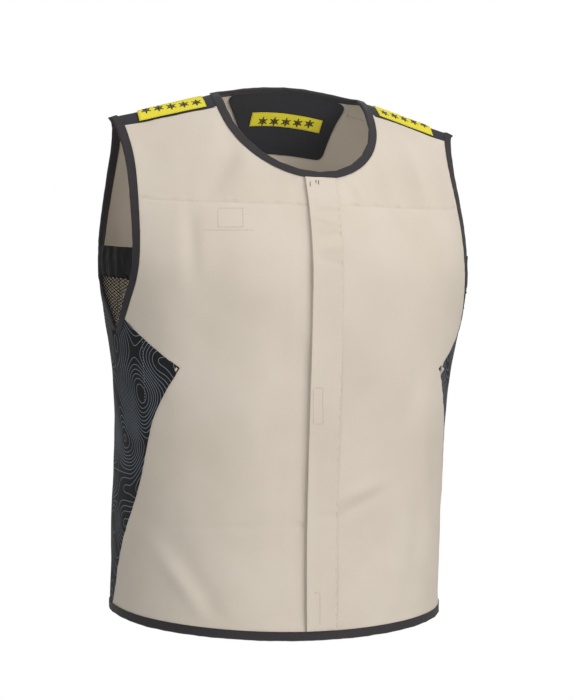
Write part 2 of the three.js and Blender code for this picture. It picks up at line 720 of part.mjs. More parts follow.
// Net with one square hole in each cell
const NET_ROWS = 10;
const NET_COLUMNS = 5;
const NET_FOOT = 0.972; // share of ARMHOLE_DROP where the lowest row ends
function underarmNet(name, sign) {
  const foot = 1 - (NET_FOOT * ARMHOLE_DROP) / LENGTH;
  const head = BAND_FOOT_LEVEL - GAP / LENGTH;
  const grid = insideArmhole(spread(head, foot, NET_ROWS), NET_COLUMNS, sign);
  const points = [];
  const faces = [];
  const add = (place) => {
    points.push(offBand(place, NET_WALL / 2), offBand(place, -NET_WALL / 2));
    return points.length - 2;
  };
  const ids = grid.map((row) => row.map(add));
  for (let r = 0; r < NET_ROWS; r += 1) {
    for (let c = 0; c < NET_COLUMNS; c += 1) {
      const cell = [
        [r, c],
        [r, c + 1],
        [r + 1, c + 1],
        [r + 1, c],
      ];
      const corners = cell.map(([i, j]) => grid[i][j]);
      const middle = new THREE.Vector3();
      corners.forEach((place) => middle.addScaledVector(place.at, 1 / corners.length));
      const hole = corners.map(({ at, normal }) => add({ at: at.clone().lerp(middle, NET_BAR), normal }));
      const edge = cell.map(([i, j]) => ids[i][j]);
      for (let k = 0; k < cell.length; k += 1) {
        const n = (k + 1) % cell.length;
        faces.push(...quad(edge[k], edge[n], hole[n], hole[k]));
        faces.push(...quad(edge[k] + 1, hole[k] + 1, hole[n] + 1, edge[n] + 1));
        faces.push(...quad(hole[k], hole[n], hole[n] + 1, hole[k] + 1));
      }
    }
  }
  const outline = [
    ...ids[0],
    ...ids.slice(1).map((row) => row[NET_COLUMNS]),
    ...ids[NET_ROWS].slice(0, -1).reverse(),
    ...ids.slice(1, -1).map((row) => row[0]).reverse(),
  ];
  for (let k = 0; k < outline.length; k += 1) {
    const next = outline[(k + 1) % outline.length];
    faces.push(...quad(outline[k], outline[k] + 1, next + 1, next));
  }
  return solid(name, points, faces, NET);
}

// Pieces sewn flat on a wall
const SEWN_ON = 0.8;
const LABEL_STEPS = 8;
const FACING_STEPS = 5;

function placket() {
  const head = neckIn[0].level;
  const foot = hemIn[0].level;
  const levels = [...lowerRows, ...upperRows.slice(1)].map((row) => row[0].level);
  const kept = levels.filter((level) => level > foot && level < head);
  const grid = [foot, ...kept, head].map((level) =>
    [-1, 0, 1].map((side) => ({ angle: frontAngleSigned((side * PLACKET_WIDTH) / 2, level), level })),
  );
  return wall('placket', grid, flat(PLACKET_CLEAR + PLACKET_WALL), flat(PLACKET_CLEAR), BEIGE);
}
const frontAngleSigned = (x, level) => Math.sign(x) * frontAngle(Math.abs(x), level);

// A trapezoid on the inside of the back, measured down from the neck tape, with its middle
// moved towards the wearer's left at its top and at its foot
function insideBack(top, foot, head, height, rows, columns, shifts) {
  const start = neckIn[neckIn.length - 1];
  const edge = lifted(start, 0);
  const levelDown = (distance) =>
    search(0, start.level, -distance, (level) => -lifted({ angle: HALF_TURN, level }, 0).distanceTo(edge));
  return spread(0, 1, rows).map((share) => {
    const level = levelDown(head + share * height);
    const half = (top + (foot - top) * share) / 2;
    const middle = shifts[0] + (shifts[1] - shifts[0]) * share;
    return spread(middle - half, middle + half, columns).map((x) => ({
      angle: x > 0 ? backAngle(x, level) : WHOLE_TURN - backAngle(-x, level),
      level,
    }));
  });
}

function backNeckFacing() {
  const size = [FACING_TOP, FACING_FOOT, SEWN_ON, FACING_HEIGHT];
  const shifts = [FACING_SHIFT, FACING_SHIFT + FACING_LEAN];
  const grid = insideBack(...size, FACING_STEPS, LABEL_STEPS, shifts);
  const outer = -WALL - SEWN_ON;
  return wall('back_neck_facing', grid, flat(outer), flat(outer - FACING_WALL), STRIP);
}

function collarLabel() {
  const head = COLLAR_LABEL_DROP - LABEL_HEIGHT / 2;
  const size = [COLLAR_LABEL_LENGTH, COLLAR_LABEL_LENGTH, head, LABEL_HEIGHT];
  const shifts = [COLLAR_LABEL_SHIFT, COLLAR_LABEL_SHIFT];
  const grid = insideBack(...size, 2, LABEL_STEPS, shifts);
  const outer = -WALL - 2 * SEWN_ON - FACING_WALL;
  return wall('label_collar', grid, flat(outer), flat(outer - LABEL_WALL), LABEL);
}

function shoulderLabel(name, sign) {
  const middle = skinPoint(stripRows[0][Math.round(STEPS.stripAcross / 2)]).x - SHOULDER_LABEL_SHIFT;
  const half = SHOULDER_LABEL_LENGTH / 2;
  const edges = [STRIP_FRONT - (STRIP_FRONT - LABEL_HEIGHT) / 2, (STRIP_FRONT - LABEL_HEIGHT) / 2];
  const grid = edges
    .flatMap((away, i) => (i === 0 ? [away, (edges[0] + edges[1]) / 2] : [away]))
    .map((away) => {
      const level = stripLevel(frontAngle, away);
      return spread(middle - half, middle + half, LABEL_STEPS).map((x) => ({
        angle: frontAngle(x, level),
        level,
      }));
    });
  return wall(name, onSide(grid, sign), flat(SEWN_ON + LABEL_WALL), flat(SEWN_ON), LABEL);
}

function onSide(grid, sign) {
  return grid.map((row) => row.map(({ angle, level }) => ({ angle: sign * angle, level })));
}

const lowerRows = lowerFront();
const upperRows = upperFront();
const sideRows = sidePanel();
const stripRows = shoulderStrip();

const vest = new THREE.Group();
for (const [side, sign] of [
  ['right', -1],
  ['left', 1],
]) {
  vest.add(wall(`front_${side}_lower`, onSide(lowerRows, sign), flat(0), flat(-WALL), BEIGE));
  vest.add(wall(`front_${side}_upper`, onSide(upperRows, sign), flat(0), flat(-WALL), BEIGE));
  vest.add(wall(`side_panel_${side}`, onSide(sideRows, sign), flat(0), flat(-WALL), SIDE_CLOTH));
  vest.add(wall(`shoulder_strip_${side}`, onSide(stripRows, sign), flat(0), flat(-WALL), STRIP));
  vest.add(tape(`armhole_binding_${side}`, onSide([armhole], sign)[0], -sign, TAPE));
  vest.add(underarmBand(`underarm_band_${side}`, sign));
  vest.add(underarmNet(`underarm_mesh_${side}`, sign));
  vest.add(shoulderLabel(`label_shoulder_${side}`, sign));
}
vest.add(wall('back_panel', backPanel(), flat(0), flat(-WALL), BEIGE));
vest.add(placket());
vest.add(tape('neck_binding', neck, -1, TAPE));
vest.add(tape('hem_binding', hem, 1, TAPE));
vest.add(backNeckFacing());
vest.add(collarLabel());

export default vest;
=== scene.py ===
"""Cooling vest, shown worn and empty: beige cloth with dark bound edges, net underarms
and black side panels. Metres, +Z up, the front faces -Y and the wearer's left is +X.
Each sheet of cloth starts as one face of its packed wall. It is unwrapped to its flat cut,
made fine, folded, drawn down along its seams and given its thickness."""
import math

import bmesh
import bpy
import numpy as np
from mathutils import Matrix, Vector, noise
from mathutils.bvhtree import BVHTree
from mathutils.kdtree import KDTree


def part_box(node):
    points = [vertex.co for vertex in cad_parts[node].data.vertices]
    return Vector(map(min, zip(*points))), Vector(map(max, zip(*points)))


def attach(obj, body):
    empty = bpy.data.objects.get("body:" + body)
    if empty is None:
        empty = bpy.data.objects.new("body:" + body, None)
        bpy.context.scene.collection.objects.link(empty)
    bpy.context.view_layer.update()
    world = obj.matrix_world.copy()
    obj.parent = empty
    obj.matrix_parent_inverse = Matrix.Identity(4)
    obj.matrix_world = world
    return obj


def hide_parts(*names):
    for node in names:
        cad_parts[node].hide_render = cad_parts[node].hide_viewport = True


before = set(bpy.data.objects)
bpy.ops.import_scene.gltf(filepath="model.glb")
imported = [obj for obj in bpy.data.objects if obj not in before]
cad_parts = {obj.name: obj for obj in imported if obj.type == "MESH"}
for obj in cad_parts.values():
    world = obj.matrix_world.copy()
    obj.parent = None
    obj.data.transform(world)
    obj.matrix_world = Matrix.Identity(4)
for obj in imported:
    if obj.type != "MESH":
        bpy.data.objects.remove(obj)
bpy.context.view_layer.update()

MM = 0.001
BODY = "root"
SIDES = (("right", -1), ("left", 1))
UP = (0, 0, 1)
ACROSS_BACK = (0, 1, 0)

# Thickness of each cloth, in millimetres
SHELL = 2.3
STRIP = 2.2
TAPE = 0.55
PLACKET = 1.7
BAND = 1.0
FACING = 1.0
LABEL = 0.7

# How far the edge of a sheet runs on, in millimetres
UNDER_TAPE = 3.2
UNDER_CLOTH = 1.4
TO_SEAM = 0.15

# Flat cut of each sheet, in metres: width, length and area
CUTS = {
    "front_lower": {"flat": (0.287, 0.485), "area": 0.1054},
    "front_upper": {"flat": (0.23, 0.135), "area": 0.0186},
    "side_panel": {"flat": (0.19, 0.356), "area": 0.0422},
    "shoulder_strip": {"flat": (0.127, 0.068), "area": 0.0063},
    "back_panel": {"flat": (0.517, 0.618), "area": 0.2394},
    "placket": {"flat": (0.037, 0.512), "area": 0.0187},
    "neck_binding": {"flat": (0.51, 0.026), "area": 0.0131},
    "hem_binding": {"flat": (1.0, 0.026), "area": 0.025},
    "armhole_binding": {"flat": (0.5, 0.026), "area": 0.0128},
    "underarm_band": {"flat": (0.11, 0.038), "area": 0.0036},
    "back_neck_facing": {"flat": (0.153, 0.09), "area": 0.0107},
    "collar_label": {"flat": (0.09, 0.021), "area": 0.00175},
    "shoulder_label": {"flat": (0.078, 0.03), "area": 0.0016},
    "underarm_mesh": {"flat": (0.088, 0.056), "area": 0.0026},
}

# Folds of the front and back, in millimetres: the middle of each fold, its lean in
# degrees from upright towards +X, half its length and breadth, and how far it swells
FRONT_FOLDS = [
    {"x": -105, "z": -88, "lean": 38, "long": 46, "broad": 13, "swell": -2.6},
    {"x": -78, "z": -78, "lean": 36, "long": 40, "broad": 15, "swell": 1.8},
    {"x": -60, "z": -112, "lean": 58, "long": 42, "broad": 12, "swell": -1.3},
    {"x": -148, "z": -170, "lean": 2, "long": 40, "broad": 9, "swell": -2.2},
    {"x": -132, "z": -240, "lean": 10, "long": 70, "broad": 22, "swell": -1.8},
    {"x": -27, "z": -330, "lean": 0, "long": 290, "broad": 9, "swell": -2.6},
    {"x": -70, "z": -360, "lean": 4, "long": 130, "broad": 32, "swell": 1.6},
    {"x": -150, "z": -545, "lean": -32, "long": 40, "broad": 9, "swell": 2.2},
    {"x": -128, "z": -560, "lean": -26, "long": 44, "broad": 12, "swell": -1.6},
    {"x": 34, "z": -108, "lean": -24, "long": 22, "broad": 7, "swell": -1.8},
    {"x": 46, "z": -104, "lean": -24, "long": 24, "broad": 8, "swell": 1.3},
    {"x": 92, "z": -96, "lean": -16, "long": 34, "broad": 12, "swell": -1.8},
    {"x": 112, "z": -90, "lean": -14, "long": 34, "broad": 12, "swell": 1.5},
    {"x": 142, "z": -92, "lean": -6, "long": 36, "broad": 12, "swell": -1.6},
    {"x": 48, "z": -458, "lean": 66, "long": 34, "broad": 7, "swell": -1.6},
    {"x": 44, "z": -444, "lean": 70, "long": 34, "broad": 8, "swell": 1.5},
    {"x": 118, "z": -330, "lean": 20, "long": 60, "broad": 18, "swell": -1.8},
    {"x": 140, "z": -430, "lean": -8, "long": 70, "broad": 12, "swell": 2.0},
    {"x": 128, "z": -500, "lean": 10, "long": 70, "broad": 16, "swell": -2.0},
    {"x": 80, "z": -250, "lean": 0, "long": 110, "broad": 30, "swell": 1.2},
    {"x": -25, "z": -481, "lean": 88, "long": 8, "broad": 2.5, "swell": -0.9},
    {"x": -100, "z": -482, "lean": 88, "long": 60, "broad": 3.0, "swell": -0.35},
]
BACK_FOLDS = [
    {"x": 0, "z": -60, "lean": 90, "long": 70, "broad": 16, "swell": -1.8},
    {"x": -110, "z": -150, "lean": -24, "long": 80, "broad": 20, "swell": 2.0},
    {"x": 115, "z": -160, "lean": 26, "long": 80, "broad": 20, "swell": 2.0},
    {"x": -90, "z": -360, "lean": 6, "long": 130, "broad": 22, "swell": -2.4},
    {"x": 96, "z": -380, "lean": -8, "long": 120, "broad": 22, "swell": -2.4},
    {"x": 0, "z": -440, "lean": 2, "long": 120, "broad": 26, "swell": 1.8},
    {"x": -150, "z": -300, "lean": -18, "long": 60, "broad": 13, "swell": 2.0},
    {"x": 152, "z": -300, "lean": 18, "long": 60, "broad": 13, "swell": 2.0},
]

# Puckers across the placket and its lifted free edge, in the same terms
PLACKET_FOLDS = [
    {"x": -20, "z": -345, "lean": 0, "long": 400, "broad": 6, "swell": 1.6},
    {"x": 6, "z": -131, "lean": 84, "long": 14, "broad": 2.6, "swell": -0.9},
    {"x": 4, "z": -142, "lean": 96, "long": 12, "broad": 3.2, "swell": 0.8},
    {"x": 8, "z": -158, "lean": 76, "long": 14, "broad": 4.0, "swell": -1.1},
    {"x": 5, "z": -172, "lean": 80, "long": 14, "broad": 4.5, "swell": 1.1},
    {"x": 3, "z": -188, "lean": 98, "long": 13, "broad": 4.0, "swell": -0.8},
    {"x": 9, "z": -300, "lean": 20, "long": 16, "broad": 3.5, "swell": -0.8},
    {"x": 2, "z": -405, "lean": 4, "long": 70, "broad": 7.0, "swell": 0.5},
    {"x": 4, "z": -470, "lean": 82, "long": 13, "broad": 4.0, "swell": -0.6},
]


# Modelling

def edit(piece):
    bpy.ops.object.select_all(action="DESELECT")
    bpy.context.view_layer.objects.active = piece
    piece.select_set(True)
    bpy.ops.object.mode_set(mode="EDIT")
    bpy.ops.mesh.select_all(action="SELECT")


def leave(piece):
    bpy.ops.object.mode_set(mode="OBJECT")
    piece.select_set(False)


def add(piece, name, kind, **values):
    """Adds a modifier and applies it"""
    modifier = piece.modifiers.new(name, kind)
    for key, value in values.items():
        setattr(modifier, key, value)
    bpy.ops.object.select_all(action="DESELECT")
    bpy.context.view_layer.objects.active = piece
    piece.select_set(True)
    bpy.ops.object.modifier_apply(modifier=modifier.name)
    piece.select_set(False)


def linked(name, mesh):
    piece = bpy.data.objects.new(name, mesh)
    bpy.context.collection.objects.link(piece)
    return piece


def points_of(piece):
    places = np.empty(3 * len(piece.data.vertices))
    piece.data.vertices.foreach_get("co", places)
    return places.reshape(-1, 3)


def normals_of(piece):
    normals = np.empty(3 * len(piece.data.vertices))
    piece.data.vertex_normals.foreach_get("vector", normals)
    return normals.reshape(-1, 3)


def push(piece, lift):
    """Moves every point of a sheet along its normal, in millimetres"""
    places = points_of(piece) + normals_of(piece) * (lift * MM)[:, None]
    piece.data.vertices.foreach_set("co", places.ravel())
    piece.data.update()


def packed(node):
    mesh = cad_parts[node].data
    places = [vert.co.copy() for vert in mesh.vertices]
    return BVHTree.FromPolygons(places, [tuple(face.vertices) for face in mesh.polygons])


JOIN = 0.02 * MM
CHEST = -0.12  # the line that the walls stand round ends at this height
QUAD_TURN = math.radians(40)  # two triangles of one quad turn less
SMOOTH_TURN = math.cos(math.radians(68))  # faces of one side of a wall turn less
CORNER_TURN = math.radians(32)  # corners of a cut turn more


def merged_copy(node, name):
    piece = linked(name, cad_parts[node].data.copy())
    piece.data.materials.clear()
    edit(piece)
    bpy.ops.mesh.remove_doubles(threshold=JOIN)
    return piece


def make_quads():
    bpy.ops.mesh.select_all(action="SELECT")
    bpy.ops.mesh.tris_convert_to_quads(
        face_threshold=QUAD_TURN, shape_threshold=math.pi, topology_influence=2
    )
    bpy.ops.mesh.select_all(action="DESELECT")


def one_side(shape, side):
    """The faces on the outer (1) or inner (-1) side of a wall"""
    def outward(face):
        centre = face.calc_center_median()
        axis = Vector((0, 0, min(centre.z, CHEST)))
        return side * (centre - axis).normalized().dot(face.normal) * face.calc_area()

    seed = max(shape.faces, key=outward)
    found, ahead = {seed}, [seed]
    while ahead:
        face = ahead.pop()
        beside = {other for edge in face.edges for other in edge.link_faces} - found
        smooth = [other for other in beside if face.normal.dot(other.normal) > SMOOTH_TURN]
        found.update(smooth)
        ahead.extend(smooth)
    return found


def wall_face(node, side=1):
    """One side of a packed wall as an open sheet of quads"""
    piece = merged_copy(node, node + "_cloth")
    make_quads()
    shape = bmesh.from_edit_mesh(piece.data)
    kept = one_side(shape, side)
    for face in shape.faces:
        face.select_set(face not in kept)
    bmesh.update_edit_mesh(piece.data)
    bpy.ops.mesh.delete(type="FACE")
    leave(piece)
    return piece


def run_on(piece, reaches):
    """Moves the edges of a sheet outwards: each reach is what an edge lies beside, how near
    it lies and how far it then runs on"""
    shape = bmesh.new()
    shape.from_mesh(piece.data)
    moves = {}
    for edge in shape.edges:
        if not edge.is_boundary:
            continue
        face = edge.link_faces[0]
        out = (edge.verts[1].co - edge.verts[0].co).normalized().cross(face.normal)
        middle = (edge.verts[0].co + edge.verts[1].co) / 2
        out *= math.copysign(1, out.dot(middle - face.calc_center_median()))
        far = next((far for tree, near, far in reaches if near_to(tree, middle, near)), TO_SEAM)
        for vert in edge.verts:
            moves.setdefault(vert, []).append((out, far * MM))
    for vert, ((out, far), (beside, beside_far)) in moves.items():
        turn = out.dot(beside)
        if turn > math.cos(CORNER_TURN):
            vert.co += (out * far + beside * beside_far) / 2
        else:
            spread = 1 - turn * turn
            vert.co += out * ((far - turn * beside_far) / spread)
            vert.co += beside * ((beside_far - turn * far) / spread)
    shape.to_mesh(piece.data)
    shape.free()


def near_to(tree, place, distance):
    return tree.find_nearest(place, distance * MM)[0] is not None


def unwrap(piece, upright):
    """Unwraps a sheet to its flat cut in metres, centred; upright is the way of its length"""
    edit(piece)
    bpy.ops.uv.unwrap(method="CONFORMAL", margin=0)
    leave(piece)
    mesh = piece.data
    layer = mesh.uv_layers.active
    flat = np.empty(2 * len(mesh.loops))
    layer.uv.foreach_get("vector", flat)
    flat = flat.reshape(-1, 2)
    corners = np.empty(len(mesh.loops), int)
    mesh.loops.foreach_get("vertex_index", corners)
    flat -= flat.mean(axis=0)
    height = points_of(piece)[corners] @ np.array(upright)
    slope = np.linalg.lstsq(flat, height - height.mean(), rcond=None)[0]
    slope /= np.linalg.norm(slope)
    turned = np.stack([flat @ np.array([slope[1], -slope[0]]), flat @ slope], axis=1)
    area = 0
    for face in mesh.polygons:
        ring = turned[list(face.loop_indices)]
        after = np.roll(ring, -1, axis=0)
        area += abs(np.sum(ring[:, 0] * after[:, 1] - ring[:, 1] * after[:, 0])) / 2
    cut = sum(face.area for face in mesh.polygons)
    turned *= math.sqrt(cut / area)
    turned -= (turned.max(axis=0) + turned.min(axis=0)) / 2
    layer.uv.foreach_set("vector", turned.ravel())


def keep_corners(piece):
    """Marks the corners of a sheet's outline, so that they stay sharp"""
    shape = bmesh.new()
    shape.from_mesh(piece.data)
    crease = shape.verts.layers.float.get("crease_vert") or shape.verts.layers.float.new("crease_vert")
    for vert in shape.verts:
        rim = [edge.other_vert(vert).co - vert.co for edge in vert.link_edges if edge.is_boundary]
        vert[crease] = len(rim) == 2 and rim[0].angle(-rim[1]) > CORNER_TURN
    shape.to_mesh(piece.data)
    shape.free()


def fine(piece, levels, corners=True):
    if corners:
        keep_corners(piece)
    add(piece, "Fine", "SUBSURF", levels=levels, render_levels=levels)


def add_hem(piece, width):
    """A ring of narrow faces along the outline, which lets a seam's pinch be narrow"""
    edit(piece)
    bpy.ops.mesh.inset(thickness=width * MM, use_boundary=True, use_even_offset=False)
    leave(piece)


def thick(piece, thickness, finish, lining=None):
    """Gives a sheet its cloth and its thickness, inwards from where it lies; a lining is the
    cloth of its inner side"""
    piece.data.materials.clear()
    piece.data.materials.append(finish)
    if lining:
        piece.data.materials.append(lining)
    inner = 1 if lining else 0
    add(piece, "Thickness", "SOLIDIFY", thickness=thickness * MM, offset=-1, material_offset=inner)
    bpy.context.view_layer.objects.active = piece
    piece.select_set(True)
    bpy.ops.object.shade_smooth_by_angle(angle=math.radians(50))
    piece.select_set(False)


def rims_of(piece):
    """The outline of a sheet in order: rings of place, normal and the way into the sheet.
    The edges left are kept in their own order, so that each run starts a ring alike"""
    shape = bmesh.new()
    shape.from_mesh(piece.data)
    left = dict.fromkeys(edge for edge in shape.edges if edge.is_boundary)
    rings = []
    while left:
        edge = next(iter(left))
        del left[edge]
        start, here = edge.verts
        walked = [start]
        while here is not start:
            walked.append(here)
            edge = next(edge for edge in here.link_edges if edge in left)
            del left[edge]
            here = edge.other_vert(here)
        ring = []
        for vert in walked:
            middles = [face.calc_center_median() for face in vert.link_faces]
            way = (sum(middles, Vector()) / len(middles) - vert.co).normalized()
            ring.append((vert.co.copy(), vert.normal.copy(), way))
        rings.append(ring)
    shape.free()
    return rings


def away_from(places, marks):
    """How far each place is from the nearest of the marks, in millimetres"""
    if not marks:
        return np.full(len(places), np.inf)
    tree = KDTree(len(marks))
    for index, mark in enumerate(marks):
        tree.insert(mark, index)
    tree.balance()
    return np.array([tree.find(place)[2] for place in places]) / MM


def fold_lift(places, folds):
    """How far the folds of a table push each point, in millimetres"""
    lift = np.zeros(len(places))
    for fold in folds:
        lean = math.radians(fold["lean"])
        aside = places[:, 0] / MM - fold["x"]
        above = places[:, 2] / MM - fold["z"]
        along = (aside * math.sin(lean) + above * math.cos(lean)) / fold["long"]
        across = (aside * math.cos(lean) - above * math.sin(lean)) / fold["broad"]
        lift += fold["swell"] * np.exp(-(along**2) - across**2)
    return lift


def rumple(places, size, depth, seed, stretch=(1, 1, 1)):
    """Uneven swells of about one size, in millimetres"""
    shift = Vector((seed, 2 * seed, 3 * seed))
    scaled = places / (size * MM) * np.array(stretch)
    return depth * np.array([noise.noise(Vector(place) + shift) for place in scaled])


BOUND_FADE = 11.0  # folds die out this far from a tape
PINCH_BREADTH = 1.9
PINCH_DEEP = 0.9  # where an edge runs in under its neighbour
PINCH_SHALLOW = 0.55
PUCKER_SIZE = 8.0
PUCKER_REACH = 8.0


def seam_lift(piece, folded, pucker, tapes, over):
    """Folds that die out at the tapes, with a pinch and small puckers along each seam"""
    places = points_of(piece)
    bound, under, shown = [], [], []
    for place in (place for ring in rims_of(piece) for place, _, _ in ring):
        if any(near_to(tree, place, UNDER_TAPE) for tree in tapes):
            bound.append(place)
        elif any(near_to(tree, place, UNDER_CLOTH) for tree in over):
            under.append(place)
        else:
            shown.append(place)
    to_bound, to_under, to_shown = (away_from(places, marks) for marks in (bound, under, shown))
    nearest = np.minimum(np.minimum(to_bound, to_under), to_shown)
    lift = folded * (1 - np.exp(-((to_bound / BOUND_FADE) ** 2)))
    lift += rumple(places, PUCKER_SIZE, pucker, 4) * np.exp(-nearest / PUCKER_REACH)
    lift -= PINCH_DEEP * np.exp(-((to_under / PINCH_BREADTH) ** 2))
    lift -= PINCH_SHALLOW * np.exp(-((to_shown / PINCH_BREADTH) ** 2))
    return lift


def declare(piece, node):
    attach(piece, BODY)
    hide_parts(node)
    return piece


# Materials

def nodes_of(name):
    material = bpy.data.materials.new(name)
    material.use_nodes = True
    tree = material.node_tree
    return material, tree, tree.nodes["Principled BSDF"]


def math_node(tree, operation, first, second=None, third=None):
    node = tree.nodes.new("ShaderNodeMath")
    node.operation = operation
    for socket, value in zip(node.inputs, (first, second, third)):
        if value is None:
            continue
        if isinstance(value, (int, float)):
            socket.default_value = value
        else:
            tree.links.new(value, socket)
    return node.outputs[0]


def colour(red, green, blue):
    """A colour as seen on a screen, 0 to 255, as light"""
    def light(value):
        share = value / 255
        return share / 12.92 if share < 0.04045 else ((share + 0.055) / 1.055) ** 2.4
    return (light(red), light(green), light(blue), 1)


def group_tree(name, inputs, outputs):
    tree = bpy.data.node_groups.new(name, "ShaderNodeTree")
    for label, kind, value in inputs:
        socket = tree.interface.new_socket(label, in_out="INPUT", socket_type=kind)
        if value is not None:
            socket.default_value = value
    for label, kind in outputs:
        tree.interface.new_socket(label, in_out="OUTPUT", socket_type=kind)
    return tree, tree.nodes.new("NodeGroupInput"), tree.nodes.new("NodeGroupOutput")


def weave_group():
    """Plain weave of crossing threads: a height, and a mask of the hollows between them, where the
    cloth is given painted shade
    """
    tree, given, result = group_tree(
        "Plain weave",
        [("Vector", "NodeSocketVector", None), ("Threads per metre", "NodeSocketFloat", 1500.0)],
        [("Height", "NodeSocketFloat"), ("Hollow shade", "NodeSocketFloat")],
    )
    split = tree.nodes.new("ShaderNodeSeparateXYZ")
    tree.links.new(given.outputs["Vector"], split.inputs[0])
    turns = math_node(tree, "MULTIPLY", given.outputs["Threads per metre"], math.pi)
    waves = []
    for axis in ("X", "Y"):
        phase = math_node(tree, "MULTIPLY", split.outputs[axis], turns)
        waves.append((math_node(tree, "SINE", phase), math_node(tree, "COSINE", phase)))
    (warp, warp_cross), (weft, weft_cross) = waves
    over = math_node(tree, "MULTIPLY", warp_cross, weft_cross)
    round_warp = math_node(tree, "ABSOLUTE", warp)
    round_weft = math_node(tree, "ABSOLUTE", weft)
    body = math_node(tree, "MULTIPLY", round_warp, round_weft)
    height = math_node(tree, "MULTIPLY_ADD", over, 0.25, body)
    tree.links.new(height, result.inputs["Height"])
    tree.links.new(math_node(tree, "SUBTRACT", 1.0, body), result.inputs["Hollow shade"])
    return tree


def tone_group():
    """Uneven tone of worn cloth: broad clouds and fine slubs, each round 0.5"""
    tree, given, result = group_tree(
        "Cloth tone",
        [
            ("Vector", "NodeSocketVector", None),
            ("Cloud scale", "NodeSocketFloat", 9.0),
            ("Slub scale", "NodeSocketFloat", 420.0),
        ],
        [("Clouds", "NodeSocketFloat"), ("Slubs", "NodeSocketFloat")],
    )
    for label, scale, detail in (("Clouds", "Cloud scale", 3.0), ("Slubs", "Slub scale", 2.0)):
        cloud = tree.nodes.new("ShaderNodeTexNoise")
        cloud.inputs["Detail"].default_value = detail
        tree.links.new(given.outputs["Vector"], cloud.inputs["Vector"])
        tree.links.new(given.outputs[scale], cloud.inputs["Scale"])
        tree.links.new(cloud.outputs["Fac"], result.inputs[label])
    return tree


WEAVE = weave_group()
TONE = tone_group()


def placed(tree, group, vector, **values):
    node = tree.nodes.new("ShaderNodeGroup")
    node.node_tree = group
    tree.links.new(vector, node.inputs["Vector"])
    for key, value in values.items():
        node.inputs[key.replace("_", " ")].default_value = value
    return node


def mixed(tree, factor, first, second):
    node = tree.nodes.new("ShaderNodeMix")
    node.data_type = "RGBA"
    if isinstance(factor, (int, float)):
        node.inputs[0].default_value = factor
    else:
        tree.links.new(factor, node.inputs[0])
    for socket, value in ((node.inputs[6], first), (node.inputs[7], second)):
        if isinstance(value, tuple):
            socket.default_value = value
        else:
            tree.links.new(value, socket)
    return node.outputs[2]


def stretched(tree, value, low, high, to_low, to_high):
    node = tree.nodes.new("ShaderNodeMapRange")
    tree.links.new(value, node.inputs["Value"])
    for socket, number in zip(node.inputs[1:5], (low, high, to_low, to_high)):
        socket.default_value = number
    return node.outputs[0]


HOLLOW_SHADE = 0.25  # how far the hollows of a weave go to its deep tone as painted shade, and how far its slubs go there as a tone of their own
SLUB_SHADE = 0.2
DEEP_TONE = 0.72  # share of the dark tone
UNEVEN = 0.06  # how far the roughness wanders


def cloth(name, light, dark, threads, depth, roughness, sheen, print_on=None):
    """Woven cloth; print_on may draw on its colour"""
    material, tree, surface = nodes_of(name)
    vector = tree.nodes.new("ShaderNodeUVMap").outputs[0]
    weave = placed(tree, WEAVE, vector, Threads_per_metre=float(threads))
    tone = placed(tree, TONE, vector)
    clouds = stretched(tree, tone.outputs["Clouds"], 0.3, 0.7, 0.0, 1.0)
    base = mixed(tree, clouds, light, dark)
    # the hollows of the weave are darkened towards the deep tone as painted shade; the slubs are a
    # real tone of the cloth
    hollow = math_node(tree, "MULTIPLY", weave.outputs["Hollow shade"], HOLLOW_SHADE)
    slubs = math_node(tree, "MULTIPLY_ADD", tone.outputs["Slubs"], SLUB_SHADE, hollow)
    base = mixed(tree, slubs, base, tuple(DEEP_TONE * c for c in dark[:3]) + (1,))
    if print_on:
        base = print_on(tree, vector, base)
    tree.links.new(base, surface.inputs["Base Color"])
    low, high = roughness - UNEVEN, roughness + UNEVEN
    rough = stretched(tree, tone.outputs["Slubs"], 0.3, 0.7, low, high)
    tree.links.new(rough, surface.inputs["Roughness"])
    surface.inputs["Sheen Weight"].default_value = sheen
    surface.inputs["Specular IOR Level"].default_value = 0.3
    relief = math_node(tree, "MULTIPLY_ADD", tone.outputs["Slubs"], 0.8, weave.outputs["Height"])
    bump = tree.nodes.new("ShaderNodeBump")
    bump.inputs["Strength"].default_value = 0.5
    bump.inputs["Distance"].default_value = depth * MM
    tree.links.new(relief, bump.inputs["Height"])
    tree.links.new(bump.outputs[0], surface.inputs["Normal"])
    return material


CONTOUR_SPREAD = 17.0  # cells of the relief map per metre
CONTOUR_STEPS = 30.0  # lines from its lowest to its highest place
CONTOUR_WIDTH = 0.37 * MM
CONTOUR_PROBE = 0.25 * MM  # step for the slope of the relief map
CONTOUR_COLOUR = colour(120, 130, 142)
CONTOUR_PLACE = (0.043, 0.31)
CONTOUR_STRETCH = (1, 0.8, 1)


